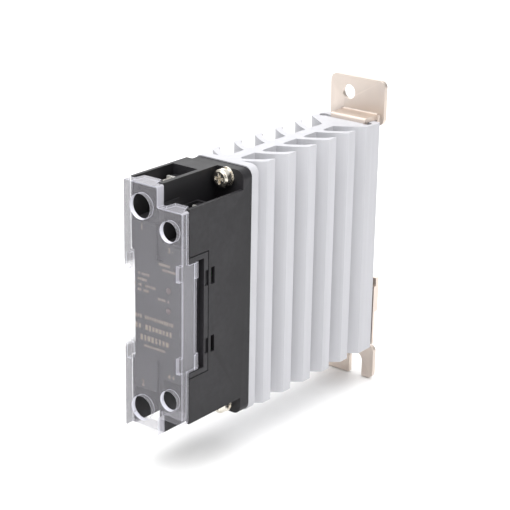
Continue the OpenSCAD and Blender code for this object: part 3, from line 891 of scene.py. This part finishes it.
class RELAY_OT_sink(bpy.types.Operator):
    """Extruded heat sink: front plate, spine, curved fins and rear block"""
    bl_idname = "relay.sink"
    bl_label = "Heat sink"

    def execute(self, context):
        sizes = context.scene.relay_sizes
        low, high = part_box("heat_sink")
        half = high.z
        section = outline_curve("sink_section", sink_section())
        section.extrude = half - 0.01 * MM
        core = baked(link("sink_core", section), "sink_core")
        corner = PLATE_CORNER
        side = high.x / MM
        top = half / MM
        loop = (arc(side - corner, top - corner, corner, 0, 90, 10)
                + arc(-side + corner, top - corner, corner, 90, 180, 10)
                + arc(-side + corner, -top + corner, corner, 180, 270, 10)
                + arc(side - corner, -top + corner, corner, 270, 360, 10))
        face = outline_curve("sink_plate", [[(x * MM, z * MM) for x, z in loop]])
        face.extrude = PLATE_HALF * MM
        plate = baked(link("sink_plate", face), "sink_plate")
        plate.data.transform(Matrix.Translation((0.0, low.y + PLATE_HALF * MM, 0.0))
                             @ Matrix.Rotation(math.pi / 2, 4, "X"))
        outline = link("fin_outline", outline_curve("fin_outline", [fin_outline()]))
        fins = shape("fins").make(
            "fins", outline=outline, fins=sizes.fins, pitch=sizes.fin_pitch,
            height=2 * half - 0.04 * MM, finish=finish_for("sink_aluminium"))
        bpy.data.objects.remove(outline)
        for name, part in (("sink_spine", core), ("sink_front_plate", plate), ("sink_fins", fins)):
            bm = bmesh.new()
            bm.from_mesh(part.data)
            bmesh.ops.remove_doubles(bm, verts=bm.verts, dist=WELD)
            bmesh.ops.dissolve_limit(bm, angle_limit=math.radians(0.5), verts=bm.verts,
                                     edges=bm.edges)
            bmesh.ops.recalc_face_normals(bm, faces=bm.faces)
            for f in bm.faces:
                f.smooth = True
            bm.to_mesh(part.data)
            bm.free()
            part.name = name
            bevel(part, 0.16, 2, 32)
            settle(part, BODY, "sink_aluminium", ["heat_sink"])
        return {"FINISHED"}


def folded(node, name, radius, width):
    """A bent sheet part: a round fold over the sink's end, small edges elsewhere."""
    mesh = merged_mesh(node)
    low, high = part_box(node)
    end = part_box("heat_sink")[1].z + SHEET * MM
    bm = bmesh.new()
    bm.from_mesh(mesh)
    weight = bm.edges.layers.float.new("bevel_weight_edge")
    for edge in bm.edges:
        centre = (edge.verts[0].co + edge.verts[1].co) / 2
        across = abs((edge.verts[1].co - edge.verts[0].co).x) > 8 * MM
        if across and abs(abs(centre.z) - end) < 0.1 * MM:
            edge[weight] = 1.0 if centre.y < low.y + 0.1 * MM else 0.55
    bm.to_mesh(mesh)
    bm.free()
    piece = link(name, mesh)
    bevel(piece, radius, 5, weighted=True)
    bevel(piece, width, 2)
    flat = piece.modifiers.new("Flat faces", "WEIGHTED_NORMAL")
    flat.mode = "FACE_AREA"
    flat.weight = 100
    return settle(piece, body_of(node), SLOT_OF[node], [node])


class RELAY_OT_mounting(bpy.types.Operator):
    """Brackets, rail plate, rail latch and its spring"""
    bl_idname = "relay.mounting"
    bl_label = "Rear mounting"

    def execute(self, context):
        sizes = context.scene.relay_sizes
        folded("upper_bracket", "upper_bracket_sheet", sizes.sheet_fold, 0.14)
        folded("lower_bracket", "lower_bracket_sheet", sizes.sheet_fold, 0.14)
        softened("rail_plate", 0.14, "rail_plate_sheet")
        softened("rail_latch", 0.14, "rail_latch_sheet")
        low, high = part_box("latch_spring")
        wire = 0.22 * MM
        coil = shape("spring").make(
            "latch_coil", turns=sizes.spring_turns, radius=(high.x - low.x) / 2 - wire,
            wire=wire, length=high.z - low.z - 2 * wire, sides=10,
            place=(0.0, (low.y + high.y) / 2, low.z + wire), turn=(0.0, 0.0, 0.0),
            finish=finish_for("spring_steel"))
        smooth(coil, 60)
        settle(coil, BODY, "spring_steel", ["latch_spring"])
        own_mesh(coil)
        return {"FINISHED"}


# ------------------------------------------------------------ stage


def area_light(name, place, aim, size, power, colour=(1.0, 1.0, 1.0)):
    lamp = bpy.data.lights.new(name, "AREA")
    lamp.shape = "RECTANGLE"
    lamp.size, lamp.size_y = size
    lamp.energy = power
    lamp.color = colour
    holder = bpy.data.objects.new(name, lamp)
    bpy.context.collection.objects.link(holder)
    holder.location = place
    holder.rotation_euler = (Vector(aim) - Vector(place)).to_track_quat("-Z", "Y").to_euler()
    return holder


def camera_turn(azimuth, elevation, roll):
    """Right, up and back directions of a camera, from angles in degrees."""
    a, e, r = (math.radians(v) for v in (azimuth, elevation, roll))
    back = Vector((math.sin(a) * math.cos(e), -math.cos(a) * math.cos(e), math.sin(e)))
    right = Vector((0.0, 0.0, 1.0)).cross(back).normalized()
    up = back.cross(right)
    return (right * math.cos(r) + up * math.sin(r), up * math.cos(r) - right * math.sin(r), back)


class RELAY_OT_stage(bpy.types.Operator):
    """Pale floor, soft studio light and the camera"""
    bl_idname = "relay.stage"
    bl_label = "Stage"

    def execute(self, context):
        floor_z = CAD_BOX[0][2] - 0.0004
        bm = bmesh.new()
        bmesh.ops.create_grid(bm, x_segments=1, y_segments=1, size=3.0)
        mesh = bpy.data.meshes.new("floor")
        bm.to_mesh(mesh)
        bm.free()
        mesh.transform(Matrix.Translation((0.0, 0.0, floor_z)))
        floor = link("floor", mesh)
        paint = Finish("floor_paint", roughness=0.9, specular_ior_level=0.1)
        paint.feed("Base Color", paint.mix(
            paint.noise(3.0), (0.86, 0.86, 0.86, 1), (0.9, 0.9, 0.9, 1)))
        mesh.materials.append(paint.material)

        context.scene.view_settings.view_transform = "Standard"
        world = context.scene.world or bpy.data.worlds.new("World")
        context.scene.world = world
        world.use_nodes = True
        sky = Tree(world.node_tree)
        height = sky.add("ShaderNodeSeparateXYZ", {}, {
            0: sky.add("ShaderNodeTexCoord").out("Generated"),
        }).out("Z")
        glow = sky.add("ShaderNodeValToRGB", {"stops": [(0.0, 0.12), (0.35, 0.5), (0.8, 1.0)]}, {
            "Fac": height,
        }).out("Color")
        background = world.node_tree.nodes["Background"]
        world.node_tree.links.new(glow.socket, background.inputs["Color"])
        background.inputs["Strength"].default_value = 1.0
        target = at(0, 50, 0)
        area_light("top_light", target + Vector((0.1, -0.2, 1.2)), target, (1.6, 1.6), 22.0)
        area_light("right_light", target + Vector((1.0, -0.2, 0.4)), target, (0.7, 0.7), 3.0)
        area_light("front_light", target + Vector((-0.3, -1.1, 0.5)), target, (0.5, 0.8), 3.0)
        area_light("back_light", target + Vector((-0.69, 0.89, 0.41)), target, (0.9, 0.5), 3.0)

        right, up, back = camera_turn(37.82, 19.78, 0.99)
        aim = at(0, 0, 0) + (30.08 * right + 17.27 * up) * MM
        lens = bpy.data.cameras.new("camera")
        lens.lens = 114.13
        lens.sensor_width = 36.0
        lens.clip_start = 0.01
        eye = bpy.data.objects.new("camera", lens)
        context.collection.objects.link(eye)
        turn = Matrix((right, up, back)).transposed()
        eye.matrix_world = Matrix.Translation(aim + back * 476.5 * MM) @ turn.to_4x4()
        context.scene.camera = eye
        return {"FINISHED"}


STEPS = (RELAY_OT_stage, RELAY_OT_cover, RELAY_OT_housing, RELAY_OT_legend, RELAY_OT_terminals,
         RELAY_OT_electronics, RELAY_OT_fixings, RELAY_OT_sink, RELAY_OT_mounting)


class RELAY_PT_panel(bpy.types.Panel):
    """Lists the pieces of the relay"""
    bl_idname = "RELAY_PT_panel"
    bl_label = "Solid state relay"
    bl_space_type = "VIEW_3D"
    bl_region_type = "UI"
    bl_category = "Relay"

    def draw(self, context):
        column = self.layout.column()
        for group in (context.scene.relay_sizes, context.scene.relay_look):
            for key in group.__annotations__:
                column.prop(group, key)
        for step in STEPS:
            column.operator(step.bl_idname)


CLASSES = (RelayLook, RelaySizes, *STEPS, RELAY_PT_panel)


def register():
    for item in CLASSES:
        bpy.utils.register_class(item)
    bpy.types.Scene.relay_look = PointerProperty(type=RelayLook)
    bpy.types.Scene.relay_sizes = PointerProperty(type=RelaySizes)


def unregister():
    del bpy.types.Scene.relay_sizes
    del bpy.types.Scene.relay_look
    for item in reversed(CLASSES):
        bpy.utils.unregister_class(item)


def main():
    register()
    for step in STEPS:
        group, name = step.bl_idname.split(".")
        if getattr(getattr(bpy.ops, group), name)() != {"FINISHED"}:
            raise RuntimeError(f"{step.bl_label} didn't finish")


if __name__ == "__main__":
    main()
